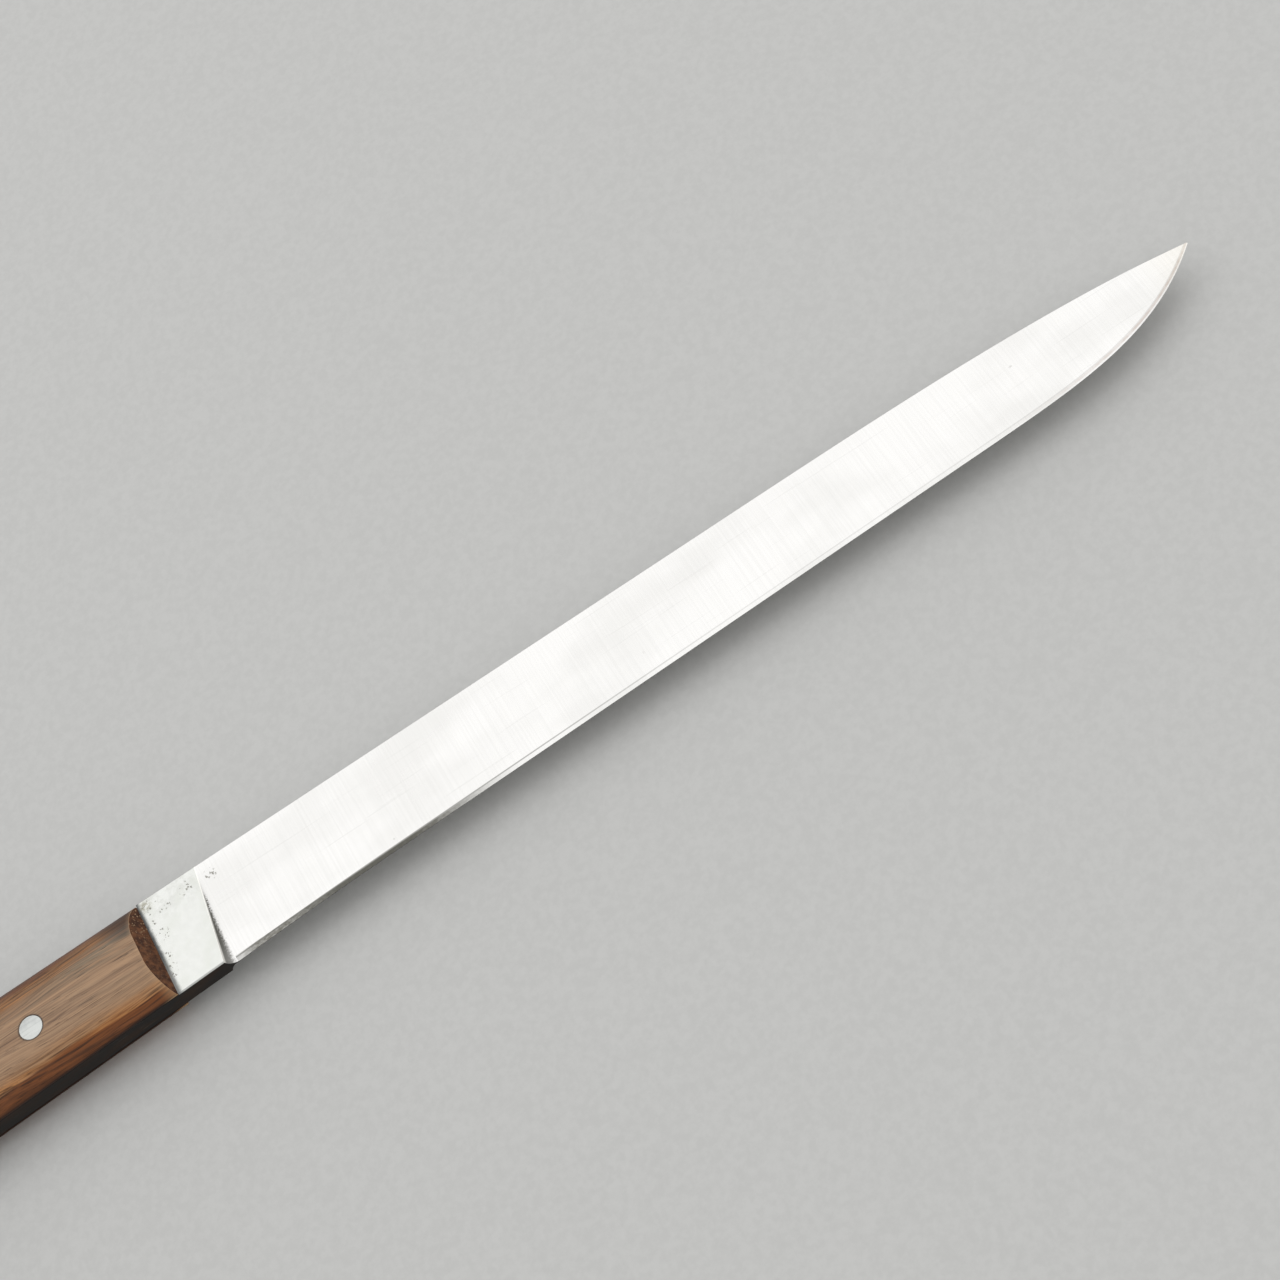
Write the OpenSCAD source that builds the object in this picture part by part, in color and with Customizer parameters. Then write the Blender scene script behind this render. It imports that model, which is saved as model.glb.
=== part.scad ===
// Carving knife: one steel bar with a flat-ground blade, two wooden scales and three solid pins.
// The knife lies on its left scale: +X to the tip, +Y to the spine, +Z up through the thickness.
// Every shape is drawn from the plunge and the spine line, then moved to the middle of its footprint.

/* [Blade] */
// Length of the ground blade, from the plunge to the tip
blade_length = 230; // [180:1:300]
// Height of the blade at the heel
heel_height = 22.85; // [18:0.05:32]
// Height of the straight part of the edge, carried on to below the tip
front_height = 18.95; // [14:0.05:26]
// How far the tip drops below the line of the spine
tip_drop = 5.6; // [2:0.1:9]
// Length of the spine that falls towards the tip
spine_fall = 110; // [60:1:150]
// Length of the belly, where the edge rises to the tip
belly_length = 60; // [40:1:100]
// How much the heel is lower than the straight part of the edge
heel_flare = 0.7; // [0:0.1:1.5]
// Length over which the heel runs into the straight part of the edge
heel_flare_length = 40; // [20:1:80]

/* [Grind] */
// Thickness of the steel bar at the ricasso and in the handle
bar_thickness = 4.35; // [3:0.05:6]
// Thickness of the spine close to the tip
tip_thickness = 1.4; // [0.8:0.1:2.4]
// Radius of the cove that ends the grind at the ricasso
cove_radius = 2.4; // [1:0.1:5]
// Place of the plunge line at the spine, ahead of its middle
plunge_lead = 1.9; // [0:0.1:4]
// Place of the plunge line at the edge, behind its middle
plunge_lag = 1.2; // [0:0.1:4]
// Height of the sharpened edge bevel
edge_bevel = 0.9; // [0.4:0.1:2]
// Thickness of the blade at the shoulder of the edge bevel
shoulder_thickness = 0.6; // [0.4:0.05:1]
// Thickness left at the cutting edge itself
edge_thickness = 0.1; // [0.06:0.02:0.3]
// Size of the broken corner along the spine and the ricasso
corner_break = 0.25; // [0.1:0.05:0.6]

/* [Ricasso] */
// Length of the unground steel between the plunge and the wood
ricasso_length = 11.75; // [6:0.25:20]
// How much the heel stands below the underside of the ricasso
heel_drop = 0.35; // [0:0.05:1.5]
// How much the underside falls for each millimetre towards the butt
underside_slope = 0.037; // [0:0.001:0.06]

/* [Handle] */
// Length of the wooden scales at the tang
handle_length = 126; // [110:1:150]
// Thickness of one scale at its flat
scale_thickness = 4.6; // [3:0.1:7]
// How much the full crown of a scale would stand above its flat
crown_height = 0.25; // [0.1:0.05:0.6]
// Thickness of a scale at its thin outer edges
scale_edge = 0.35; // [0.2:0.05:1]
// Step from the spine down to the top of the handle
top_step = 0.8; // [0.2:0.1:2]
// How much the top of the handle falls towards the butt
butt_drop = 3; // [0:0.5:6]
// Distance behind the wood line at which that fall starts
butt_drop_start = 45; // [20:1:80]
// Radius of the upper corner of the butt
butt_radius_top = 9; // [4:0.5:10]
// Radius of the lower corner of the butt
butt_radius_low = 10; // [4:0.5:11]
// Angle of the bevel at the front of a scale, from the upright
front_bevel = 25; // [0:1:45]
// How much the scales thin at the rounded butt
butt_thinning = 1.4; // [0:0.1:2.5]
// Length of that thinning
butt_thinning_length = 6; // [3:0.5:12]

/* [Pins] */
// Diameter of the pins
pin_diameter = 5; // [3:0.5:6]
// Distance from the front of the scales to the first pin
pin_front = 27.3; // [15:0.1:40]
// Distance between two pins
pin_pitch = 34.5; // [20:0.5:38]
// How much lower than the middle of the handle the pins sit
pin_low = 1.2; // [0:0.1:2]
// Clearance around a pin in its bores
pin_clearance = 0.02; // [0.01:0.01:0.08]

/* [Hidden] */
steel = [0.80, 0.81, 0.82];
wood = [0.45, 0.29, 0.20];
alloy = [0.72, 0.73, 0.74];

half_bar = bar_thickness / 2;
knife_thickness = bar_thickness + 2 * scale_thickness;
wood_line = -ricasso_length;
butt = wood_line - handle_length;
plunge_r = max(cove_radius, half_bar);
pin_count = 3;

// How sharply the belly and the spine turn as they near the tip, and the size of the point
belly_power = 3.85;
spine_power = 3.45;
point_height = 0.3;

// Blade outline: the line of the spine and the line of the edge
function near_tip(x, length) = max(0, 1 - (blade_length - x) / length);
function spine_y(x) =
    -(tip_drop - point_height / 2) * pow(near_tip(x, spine_fall), spine_power);
function straight_edge(x) =
    -heel_height + heel_flare
    + (heel_height - heel_flare - front_height) * max(0, x) / blade_length;
function edge_y(x) =
    straight_edge(x)
    - heel_flare * pow(max(0, 1 - max(0, x) / heel_flare_length), 2)
    + (front_height - tip_drop - point_height / 2) * pow(near_tip(x, belly_length), belly_power);
function underside_y(x) = -heel_height + heel_drop + underside_slope * x;
function blade_height(x) = spine_y(x) - edge_y(x);

// Blade section: distal taper, fading out where the blade narrows to its point
function fade(x) = 1 - pow(max(0, 1 - blade_height(x) / front_height), 3);
function spine_t(x) =
    (bar_thickness + (tip_thickness - bar_thickness) * max(0, x) / blade_length) * fade(x);
function bevel_at(x) = min(edge_bevel, 0.4 * blade_height(x));
function shoulder_at(x) = min(shoulder_thickness, 0.8 * spine_t(x));
function edge_at(x) = min(edge_thickness, 0.6 * spine_t(x));
function break_at(x) = min(corner_break, spine_t(x) / 4, blade_height(x) / 6);

// Rows of the section, from the spine down to the edge, as shares of the ground face
FACE = [0, 0.06, 0.12, 0.2, 0.3, 0.42, 0.56, 0.7, 0.85, 1];
face_rows = len(FACE);
rows = face_rows + 2;
cove_steps = 6;
ground_steps = 46;

// Share of the face at which a row lies, for the slant of the plunge line
function share(j) = j == 0 ? 0 : j > face_rows ? 1 : FACE[j - 1];
function plunge_x(j) = plunge_lead - (plunge_lead + plunge_lag) * share(j);

// Half thickness of a row on the ricasso and on the ground blade
function full_z(j) = j == 0 || j > face_rows ? half_bar - corner_break : half_bar;
function ground_z(x, j) =
    j == 0 ? spine_t(x) / 2 - break_at(x)
    : j > face_rows ? edge_at(x) / 2
    : spine_t(x) / 2 + (shoulder_at(x) - spine_t(x)) / 2 * share(j);

// Height of a row, between the spine and the lowest line of the blade or the ricasso
function row_y(x, j, low, bevel) =
    j == 0 ? spine_y(x)
    : j > face_rows ? low
    : spine_y(x) - break_at(x) + (low + bevel - spine_y(x) + break_at(x)) * share(j);

// One point of the cove: an arc that leaves the ricasso and ends flat on the ground face
function cove_depth(j) = full_z(j) - ground_z(plunge_x(j) + plunge_r, j);
function cove_angle(j) = acos(max(0, 1 - cove_depth(j) / plunge_r));
function cove_run(j) = plunge_r * sin(cove_angle(j));
function cove_point(j, u) =
    let (a = cove_angle(j) * (1 - u),
         x = plunge_x(j) + cove_run(j) - plunge_r * sin(a),
         low = underside_y(x) + (edge_y(x) - underside_y(x)) * u,
         bevel = corner_break + (bevel_at(x) - corner_break) * u)
    [x, row_y(x, j, low, bevel), full_z(j) - cove_depth(j) + plunge_r * (1 - cos(a))];
function flat_point(j, u) =
    let (start = plunge_x(j) + cove_run(j),
         x = start + (blade_length - start) * u)
    [x, row_y(x, j, edge_y(x), bevel_at(x)), ground_z(x, j)];
function ricasso_point(j) =
    [wood_line, row_y(wood_line, j, underside_y(wood_line), corner_break), full_z(j)];

// Stations along the blade: wood line, cove, then the ground flats, closer together at the tip
function half_ring(i) =
    i == 0 ? [for (j = [0:rows - 1]) ricasso_point(j)]
    : i <= cove_steps + 1 ? [for (j = [0:rows - 1]) cove_point(j, (i - 1) / cove_steps)]
    : [for (j = [0:rows - 1]) flat_point(j, 1 - pow(1 - (i - cove_steps - 1) / ground_steps, 1.5))];
function mirrored(p) = [p[0], p[1], -p[2]];
function ring(i) =
    let (right = half_ring(i))
    concat(right, [for (j = [rows - 1:-1:0]) mirrored(right[j])]);

// Faces of a solid made of equal rings, as triangles, closed by a flat cap at each end
function side_faces(rings, n) =
    [for (i = [0:rings - 2], k = [0:n - 1])
        let (a = i * n + k, b = i * n + (k + 1) % n)
        each [[a, a + n, b], [b, a + n, b + n]]];
function cap_faces(rings, n) =
    [[for (k = [0:n - 1]) k], [for (k = [n - 1:-1:0]) (rings - 1) * n + k]];

module lofted(ring_list) {
    n = len(ring_list[0]);
    polyhedron(
        points = [for (r = ring_list) each r],
        faces = concat(side_faces(len(ring_list), n), cap_faces(len(ring_list), n)),
        convexity = 4);
}

// Handle outline, measured by the distance d behind the wood line, with a rounded butt
butt_height = -underside_y(butt) - top_step - butt_drop;
top_r = min(butt_radius_top, 0.45 * butt_height);
low_r = min(butt_radius_low, 0.45 * butt_height);
function corner(d, radius) =
    d <= handle_length - radius ? 0
    : radius * (1 - sqrt(max(0, 1 - pow((d - handle_length + radius) / radius, 2))));
function handle_top(d) =
    -top_step
    - butt_drop * pow(max(0, (d - butt_drop_start) / (handle_length - butt_drop_start)), 2)
    - corner(d, top_r);
function handle_low(d) = underside_y(wood_line - d) + corner(d, low_r);
function handle_mid(d) = (handle_top(d) + handle_low(d)) / 2;

// Stations of the handle, closer together round the butt
body_steps = 20;
butt_steps = 12;
round_length = max(top_r, low_r);
handle_stations = concat(
    [for (i = [0:body_steps - 1]) (handle_length - round_length) * i / body_steps],
    [for (i = [0:butt_steps]) handle_length - round_length * (1 - sin(90 * i / butt_steps))]);
handle_floor = min([for (d = handle_stations) handle_low(d)]);

// Crowned section of a scale: v runs from 0 at the top edge to 1 at the lower edge
crown_steps = 18;
crown_power = 2.5;
shoulder_top = 1 / 1.2;
shoulder_low = 1 / 1.1;
function crown(v) =
    pow(max(0, 1 - pow(abs(2 * v - 1), crown_power)), v < 0.5 ? shoulder_top : shoulder_low);
function thinning(d) =
    d <= handle_length - butt_thinning_length ? 0
    : butt_thinning
        * (1 - sqrt(max(0, 1 - pow(1 - (handle_length - d) / butt_thinning_length, 2))));
function scale_ring(d) =
    let (x = wood_line - d,
         top = handle_top(d),
         low = handle_low(d),
         rise = scale_thickness + crown_height - scale_edge - thinning(d))
    concat(
        [[x, low, -half_bar], [x, top, -half_bar]],
        [for (i = [0:crown_steps])
            let (v = (1 - cos(180 * i / crown_steps)) / 2)
            [x, top + (low - top) * v, half_bar + scale_edge + rise * crown(v)]]);

// Places of the pins
function pin_x(i) = wood_line - pin_front - pin_pitch * i;
function pin_y(i) = handle_mid(pin_front + pin_pitch * i) - pin_low;

// Brings the knife to the middle of its footprint, with the left scale's flat at zero
module placed() {
    translate([-(blade_length + butt) / 2, -handle_floor / 2, knife_thickness / 2])
        children();
}

module pin_bores() {
    for (i = [0:pin_count - 1])
        translate([pin_x(i), pin_y(i), -knife_thickness])
            cylinder(h = 2 * knife_thickness, d = pin_diameter + 2 * pin_clearance, $fn = 64);
}

// Full tang: the shape of the handle, cut from the bar
module tang() {
    difference() {
        translate([0, 0, -half_bar])
            linear_extrude(height = bar_thickness)
                polygon(concat(
                    [for (d = handle_stations) [wood_line - d, handle_top(d)]],
                    [for (i = [len(handle_stations) - 1:-1:0])
                        [wood_line - handle_stations[i], handle_low(handle_stations[i])]]));
        pin_bores();
    }
}

// Ricasso and blade: flat ground on both sides, with a cove at the plunge and a sharpened bevel
module ground_blade() {
    lofted([for (i = [0:cove_steps + ground_steps + 1]) ring(i)]);
}

module blade() {
    color(steel)
        placed() {
            tang();
            ground_blade();
        }
}

// One scale on the +Z side of the tang, with its flat, its bevelled front and its bores
module scale_body() {
    reach = 2 * heel_height;
    difference() {
        intersection() {
            lofted([for (i = [len(handle_stations) - 1:-1:0]) scale_ring(handle_stations[i])]);
            translate([butt - 1, -reach, half_bar])
                cube([handle_length + 2, 2 * reach, scale_thickness]);
        }
        translate([wood_line, 0, half_bar])
            rotate([0, -front_bevel, 0])
                translate([0, -reach, -scale_thickness])
                    cube([scale_thickness, 2 * reach, 3 * scale_thickness]);
        pin_bores();
    }
}

module right_scale() {
    color(wood)
        placed()
            scale_body();
}

module left_scale() {
    color(wood)
        placed()
            mirror([0, 0, 1])
                scale_body();
}

// Solid pin, ground flush with both scales
module pin(i) {
    color(alloy)
        placed()
            translate([pin_x(i), pin_y(i), -knife_thickness / 2])
                cylinder(h = knife_thickness, d = pin_diameter, $fn = 64);
}

module front_pin() {
    pin(0);
}

module middle_pin() {
    pin(1);
}

module rear_pin() {
    pin(2);
}

blade();
right_scale();
left_scale();
front_pin();
middle_pin();
rear_pin();
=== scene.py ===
# Looks of a carving knife: one flat-ground steel bar, two rosewood scales and three pins
import math
import bmesh
import bpy
from mathutils import Matrix, Vector


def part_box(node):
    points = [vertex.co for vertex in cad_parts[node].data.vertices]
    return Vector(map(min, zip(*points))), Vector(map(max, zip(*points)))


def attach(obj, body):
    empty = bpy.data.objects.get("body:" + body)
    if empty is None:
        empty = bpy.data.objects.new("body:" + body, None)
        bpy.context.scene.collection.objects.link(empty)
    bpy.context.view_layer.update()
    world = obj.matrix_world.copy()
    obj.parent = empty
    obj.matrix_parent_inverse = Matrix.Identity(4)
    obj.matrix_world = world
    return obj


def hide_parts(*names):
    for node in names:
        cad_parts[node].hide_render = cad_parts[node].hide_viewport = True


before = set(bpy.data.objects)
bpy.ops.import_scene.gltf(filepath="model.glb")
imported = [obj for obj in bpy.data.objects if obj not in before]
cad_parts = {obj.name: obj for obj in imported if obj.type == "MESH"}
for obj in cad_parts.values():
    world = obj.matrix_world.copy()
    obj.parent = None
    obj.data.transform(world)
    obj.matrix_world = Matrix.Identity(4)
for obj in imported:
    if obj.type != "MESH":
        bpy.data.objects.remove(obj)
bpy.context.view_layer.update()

mm = 0.001
nearEnough = 0.002    # mm, for finding a row or a column of vertices by its place
squareOn = 0.9        # how much of its normal a face has one way, to be picked as facing that way
axes = {"x": Vector((1, 0, 0)), "y": Vector((0, 1, 0)), "z": Vector((0, 0, 1))}

# what a user would change on the steel, in mm and degrees
bladeSizes = {
    "ricassoLength": 11.75, "heelHeight": 22.85, "frontHeight": 18.95,
    "tipDrop": 5.6, "pointHeight": 0.3,
    # how far before the tip the spine falls and the belly rises, and how suddenly
    "spineFall": 110, "spinePower": 3.45, "bellyLength": 60, "bellyPower": 3.85,
    # the heel's flare, its step below the ricasso, and the slope of the underside
    "heelFlare": 0.7, "heelFlareLength": 40, "heelDrop": 0.35, "undersideSlope": 0.037,
    # thicknesses, the bevel and the broken corners
    "tipThickness": 1.4, "shoulderThickness": 0.6, "edgeThickness": 0.1,
    "edgeBevel": 0.9, "cornerBreak": 0.25,
    # the cove at the plunge, which leads at the spine and lags at the edge
    "coveRadius": 2.4, "plungeLead": 1.9, "plungeLag": 1.2,
    # how finely it is cut, closer together towards the tip
    "faceRows": 11, "coveColumns": 14, "groundColumns": 72, "tipCrowding": 1.5, "smoothAngle": 8,
}

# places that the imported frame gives, in mm
bladeLow, bladeHigh = [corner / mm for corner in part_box("blade")]
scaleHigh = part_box("right_scale")[1] / mm
barThickness = bladeHigh.z - bladeLow.z
halfBar = barThickness / 2
scaleThickness = scaleHigh.z - bladeHigh.z
midBar = (bladeLow.z + bladeHigh.z) / 2
plunge = Vector((scaleHigh.x + bladeSizes["ricassoLength"], bladeHigh.y, midBar))
bladeLength = bladeHigh.x - plunge.x
woodLine = scaleHigh.x - plunge.x
handleLength = scaleHigh.x - bladeLow.x
butt = woodLine - handleLength


# outlines, measured from the plunge (x) and the spine line (y)
def nearTip(x, length):
    return max(0, 1 - (bladeLength - x) / length)


def spineLine(x):
    s = bladeSizes
    return -(s["tipDrop"] - s["pointHeight"] / 2) * nearTip(x, s["spineFall"]) ** s["spinePower"]


def edgeLine(x):
    s = bladeSizes
    straight = s["heelHeight"] - s["heelFlare"] - s["frontHeight"]
    line = -s["heelHeight"] + s["heelFlare"] + straight * max(0, x) / bladeLength
    line -= s["heelFlare"] * max(0, 1 - max(0, x) / s["heelFlareLength"]) ** 2
    rise = s["frontHeight"] - s["tipDrop"] - s["pointHeight"] / 2
    return line + rise * nearTip(x, s["bellyLength"]) ** s["bellyPower"]


def underLine(x):
    s = bladeSizes
    return -s["heelHeight"] + s["heelDrop"] + s["undersideSlope"] * x


# what a user would change on the scales, in mm and degrees
scaleSizes = {
    # the crown over the sanded flat, how full its two shoulders are, and the thin outer edge
    "crownHeight": 0.25, "crownPower": 2.5, "shoulderTop": 1.2, "shoulderLow": 1.1, "edge": 0.35,
    # the top line, and the rounded, thinned butt
    "topStep": 0.8, "buttDrop": 3, "buttDropStart": 45, "buttRadiusTop": 9, "buttRadiusLow": 10,
    "buttThinning": 1.4, "buttThinningLength": 6,
    "frontBevel": 25, "flatInset": 0.3, "softEdge": 0.2, "softSegments": 3, "boreRim": 0.1,
    # how finely it is cut
    "rows": 36, "bodyColumns": 24, "buttColumns": 16, "smoothAngle": 24,
}


def cornerDrop(back, radius):
    into = back - handleLength + radius
    return 0 if into <= 0 else radius * (1 - math.sqrt(max(0, 1 - (into / radius) ** 2)))


def handleTop(back):
    s = scaleSizes
    fall = max(0, (back - s["buttDropStart"]) / (handleLength - s["buttDropStart"])) ** 2
    return -s["topStep"] - s["buttDrop"] * fall - cornerDrop(back, s["buttRadiusTop"])


def handleLow(back):
    return underLine(woodLine - back) + cornerDrop(back, scaleSizes["buttRadiusLow"])


def handleColumns():
    s = scaleSizes
    straight = handleLength - max(s["buttRadiusTop"], s["buttRadiusLow"])
    body = [straight * i / s["bodyColumns"] for i in range(s["bodyColumns"])]
    turn = [straight + (handleLength - straight) * math.sin(math.pi / 2 * i / s["buttColumns"])
            for i in range(s["buttColumns"] + 1)]
    return body + turn


# small helpers for modelling in edit mode, in mm
def addBlock(name, low, high):
    low, high = Vector(low) * mm, Vector(high) * mm
    bpy.ops.object.select_all(action="DESELECT")
    bpy.ops.mesh.primitive_cube_add(size=1, location=(low + high) / 2)
    block = bpy.context.object
    block.scale = high - low
    bpy.ops.object.transform_apply(location=True, rotation=True, scale=True)
    block.name = block.data.name = name
    return block


def selectOnly(piece):
    bpy.ops.object.select_all(action="DESELECT")
    piece.select_set(True)
    bpy.context.view_layer.objects.active = piece


def editMode(piece):
    selectOnly(piece)
    bpy.ops.object.mode_set(mode="EDIT")


def objectMode():
    bpy.ops.object.mode_set(mode="OBJECT")


def cut(point, normal, **settings):
    bpy.ops.mesh.select_all(action="SELECT")
    bpy.ops.mesh.bisect(plane_co=Vector(point) * mm, plane_no=normal, threshold=1e-7, **settings)


def pickVerts(piece, wanted):
    mesh = bmesh.from_edit_mesh(piece.data)
    bpy.ops.mesh.select_mode(type="VERT")
    for vert in mesh.verts:
        vert.select = wanted(vert.co / mm)
    mesh.select_flush(True)
    bmesh.update_edit_mesh(piece.data, loop_triangles=False, destructive=False)


def pickFaces(piece, wanted):
    mesh = bmesh.from_edit_mesh(piece.data)
    bpy.ops.mesh.select_mode(type="FACE")
    mesh.normal_update()
    for face in mesh.faces:
        face.select_set(wanted(face.calc_center_median() / mm, face.normal))
    bmesh.update_edit_mesh(piece.data, loop_triangles=False, destructive=False)


def softenEdges(width, segments):
    bpy.ops.mesh.bevel(offset=width * mm, segments=segments, affect="EDGES", clamp_overlap=True)


def applyModifier(piece, kind, **settings):
    bpy.context.view_layer.objects.active = piece
    modifier = piece.modifiers.new(kind.title(), kind)
    for key, value in settings.items():
        setattr(modifier, key, value)
    bpy.ops.object.modifier_apply(modifier=modifier.name)


def smoothByAngle(piece, degrees):
    selectOnly(piece)
    bpy.ops.object.shade_smooth_by_angle(angle=math.radians(degrees))


def copyOf(piece, name):
    # a copy with its own mesh
    selectOnly(piece)
    bpy.ops.object.duplicate()
    copy = bpy.context.object
    copy.name = copy.data.name = name
    return copy


def moveHome(piece):
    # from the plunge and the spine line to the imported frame, with the object left at the origin
    selectOnly(piece)
    piece.location = plunge * mm
    bpy.ops.object.transform_apply(location=True, rotation=True, scale=True)


def finishPiece(piece, node, materials):
    for material in materials:
        piece.data.materials.append(material)
    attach(piece, "root")
    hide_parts(node)


# what a user would change on the pins, in mm and degrees
pinSizes = {"sides": 64, "rim": 0.12, "rimSegments": 3, "clearance": 0.02, "smoothAngle": 35}
pinNodes = ("front_pin", "middle_pin", "rear_pin")


def pinPlace(node):
    low, high = [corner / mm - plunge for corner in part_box(node)]
    return (low + high) / 2, high - low


def addRod(centre, radius, length):
    bpy.ops.object.select_all(action="DESELECT")
    bpy.ops.mesh.primitive_cylinder_add(
        vertices=pinSizes["sides"], radius=radius * mm, depth=length * mm, location=centre * mm)
    bpy.ops.object.transform_apply(location=True, rotation=True, scale=True)
    return bpy.context.object


def drillBores(piece):
    # cuts one round hole at each pin's place, flared where it leaves the wood
    top = halfBar + scaleThickness
    cutters = []
    for node in pinNodes:
        centre, size = pinPlace(node)
        radius = size.x / 2 + pinSizes["clearance"]
        cutter = addRod(centre, radius, 4 * top)
        editMode(cutter)
        rim = scaleSizes["boreRim"]
        for side in (-1, 1):
            cut((0, 0, side * (top + rim)), axes["z"])
            cut((0, 0, side * (top - rim)), axes["z"])
            pickVerts(cutter, lambda p: side * p.z > top)
            flare = 1 + 2 * rim / radius
            bpy.ops.transform.resize(value=(flare, flare, 1), center_override=centre * mm)
        objectMode()
        cutters.append(cutter)
    bpy.ops.object.select_all(action="DESELECT")
    for cutter in cutters:
        cutter.select_set(True)
    bpy.context.view_layer.objects.active = cutters[0]
    bpy.ops.object.join()
    cutter = bpy.context.object
    applyModifier(piece, "BOOLEAN", object=cutter, operation="DIFFERENCE", solver="EXACT")
    bpy.data.objects.remove(cutter)


def shapeBlade():
    # one bar for blade, ricasso and tang; its ground faces taper two ways and curve at the plunge
    # and the tip, so its vertices are set by formula
    s = bladeSizes
    radius = max(s["coveRadius"], halfBar)
    height = s["heelHeight"]
    faceTop, faceLow = s["cornerBreak"], height - s["edgeBevel"]

    def bladeHeight(x):
        return spineLine(x) - edgeLine(x)

    def spineThickness(x):
        fade = 1 - max(0, 1 - bladeHeight(x) / s["frontHeight"]) ** 3
        return (barThickness + (s["tipThickness"] - barThickness) * max(0, x) / bladeLength) * fade

    # the bevel and the broken corners shrink with the blade at the point
    def bevelHeight(x):
        return min(s["edgeBevel"], 0.4 * bladeHeight(x))

    def breakSize(x):
        return min(s["cornerBreak"], spineThickness(x) / 4, bladeHeight(x) / 6)

    def halfThickness(x, row, share):
        if row == "spine":
            return spineThickness(x) / 2 - breakSize(x)
        if row == "edge":
            return min(s["edgeThickness"], 0.6 * spineThickness(x)) / 2
        shoulder = min(s["shoulderThickness"], 0.8 * spineThickness(x))
        return (spineThickness(x) + (shoulder - spineThickness(x)) * share) / 2

    def rowOf(y):
        # rows of the block, from the spine down: the spine, the ground face in shares, the edge
        if y > -faceTop / 2:
            return "spine", 0
        if y < -(faceLow + height) / 2:
            return "edge", 1
        return "face", (-y - faceTop) / (faceLow - faceTop)

    def rowHeight(row, share, top, low, corner, bevel):
        if row == "spine":
            return top
        if row == "edge":
            return low
        return top - corner + (low + bevel - top + corner) * share

    def settled(p):
        row, share = rowOf(p.y)
        fullHalf = halfBar - (s["cornerBreak"] if row != "face" else 0)
        outer = p.z > halfBar / 2
        if p.x < -nearEnough:
            back = woodLine - p.x
            onTang = back > nearEnough
            top = handleTop(back) if onTang else 0
            low = handleLow(back) if onTang else underLine(p.x)
            y = rowHeight(row, share, top, low, s["cornerBreak"], s["cornerBreak"])
            return Vector((p.x, y, fullHalf if outer else 0))
        # cove at the plunge: an arc that leaves the ricasso and ends flat on the ground face
        line = s["plungeLead"] - (s["plungeLead"] + s["plungeLag"]) * share
        depth = fullHalf - halfThickness(line + radius, row, share)
        angle = math.acos(max(0, 1 - depth / radius))
        run = radius * math.sin(angle)
        along = p.x / s["coveRadius"]
        if along < 1 + nearEnough:
            turn = angle * (1 - along)
            x = line + run - radius * math.sin(turn)
            low = underLine(x) + (edgeLine(x) - underLine(x)) * along
            bevel = s["cornerBreak"] + (bevelHeight(x) - s["cornerBreak"]) * along
            y = rowHeight(row, share, spineLine(x), low, breakSize(x), bevel)
            z = fullHalf - depth + radius * (1 - math.cos(turn))
        else:
            ahead = (p.x - s["coveRadius"]) / (bladeLength - s["coveRadius"])
            x = line + run + (bladeLength - line - run) * ahead
            y = rowHeight(row, share, spineLine(x), edgeLine(x), breakSize(x), bevelHeight(x))
            z = halfThickness(x, row, share)
        return Vector((x, y, z if outer else 0))

    # a block for the right half, cut into columns and rows, then set on the ground surface
    bar = addBlock("knifeBlade", (butt, -height, 0), (bladeLength, 0, halfBar))
    editMode(bar)
    tangColumns = [woodLine - back for back in handleColumns()[1:-1]] + [woodLine - 2 * nearEnough]
    coveColumns = [s["coveRadius"] * i / s["coveColumns"] for i in range(s["coveColumns"] + 1)]
    groundColumns = []
    for i in range(1, s["groundColumns"]):
        share = 1 - (1 - i / s["groundColumns"]) ** s["tipCrowding"]
        groundColumns.append(s["coveRadius"] + (bladeLength - s["coveRadius"]) * share)
    for x in tangColumns + [woodLine] + coveColumns + groundColumns:
        cut((x, 0, 0), axes["x"])
    for i in range(s["faceRows"] + 1):
        cut((0, -(faceTop + (faceLow - faceTop) * i / s["faceRows"]), 0), axes["y"])
    pickFaces(bar, lambda centre, normal: normal.z < -squareOn)
    bpy.ops.mesh.delete(type="FACE")
    mesh = bmesh.from_edit_mesh(bar.data)
    for vert in mesh.verts:
        vert.co = settled(vert.co / mm) * mm
    bmesh.update_edit_mesh(bar.data)
    objectMode()
    applyModifier(bar, "MIRROR", use_axis=(False, False, True), merge_threshold=1e-6)
    drillBores(bar)

    # a map in mm that follows the blade: how far along, and how far above the lowest line
    layer = bar.data.uv_layers.new(name="bladeMap")
    for loop in bar.data.loops:
        p = bar.data.vertices[loop.vertex_index].co / mm
        low = edgeLine(p.x) if p.x > 0 else underLine(p.x)
        layer.data[loop.index].uv = (p.x, p.y - low)

    smoothByAngle(bar, s["smoothAngle"])
    return bar


def tarnishAndShadeNarrowFaces(bar):
    # the second material goes where no stone reaches: under the ricasso and all round the tang; its
    # near-black is partly painted shade of the underside
    editMode(bar)
    pickFaces(bar, lambda centre, normal:
              (centre.x < plunge.x + bladeSizes["coveRadius"] and normal.y < -squareOn)
              or (centre.x < plunge.x + woodLine and abs(normal.z) < squareOn))
    bar.active_material_index = 1
    bpy.ops.object.material_slot_assign()
    objectMode()


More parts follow.
